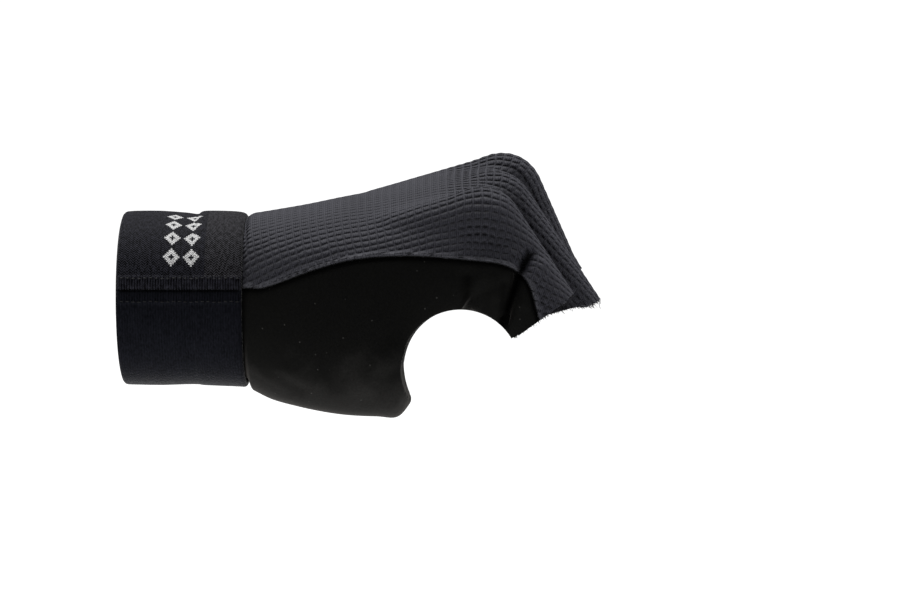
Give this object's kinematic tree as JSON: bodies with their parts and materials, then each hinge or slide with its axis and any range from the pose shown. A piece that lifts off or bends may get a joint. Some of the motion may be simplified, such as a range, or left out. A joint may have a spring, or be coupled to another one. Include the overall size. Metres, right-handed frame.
{
  "type": "fingerless cycling glove",
  "caption": "Right-hand fingerless cycling glove in its gripping form, with a knitted elastic cuff, mesh back and suede palm.",
  "frame": {"origin": "middle of the wrist opening, in the plane of the cuff's open edge", "axes": "+X from the wrist to the knuckles, +Y towards the thumb, +Z towards the back of the hand"},
  "size_m": [0.135, 0.1055, 0.076],
  "materials": {
    "cuff_twill_elastic": "matt black knitted elastic with a fine twill face",
    "cuff_rib_elastic": "matt blue-black knitted elastic with fine ribs",
    "mesh_knit": "dark grey dimpled mesh knit",
    "palm_suede": "black microfibre suede with a short nap"
  },
  "bodies": {
    "root": {"cuff_back_band": "cuff_twill_elastic", "cuff_palm_band": "cuff_rib_elastic", "back_panel": "mesh_knit", "palm_panel": "palm_suede", "thumb_stall": "palm_suede"}
  },
  "joints": []
}
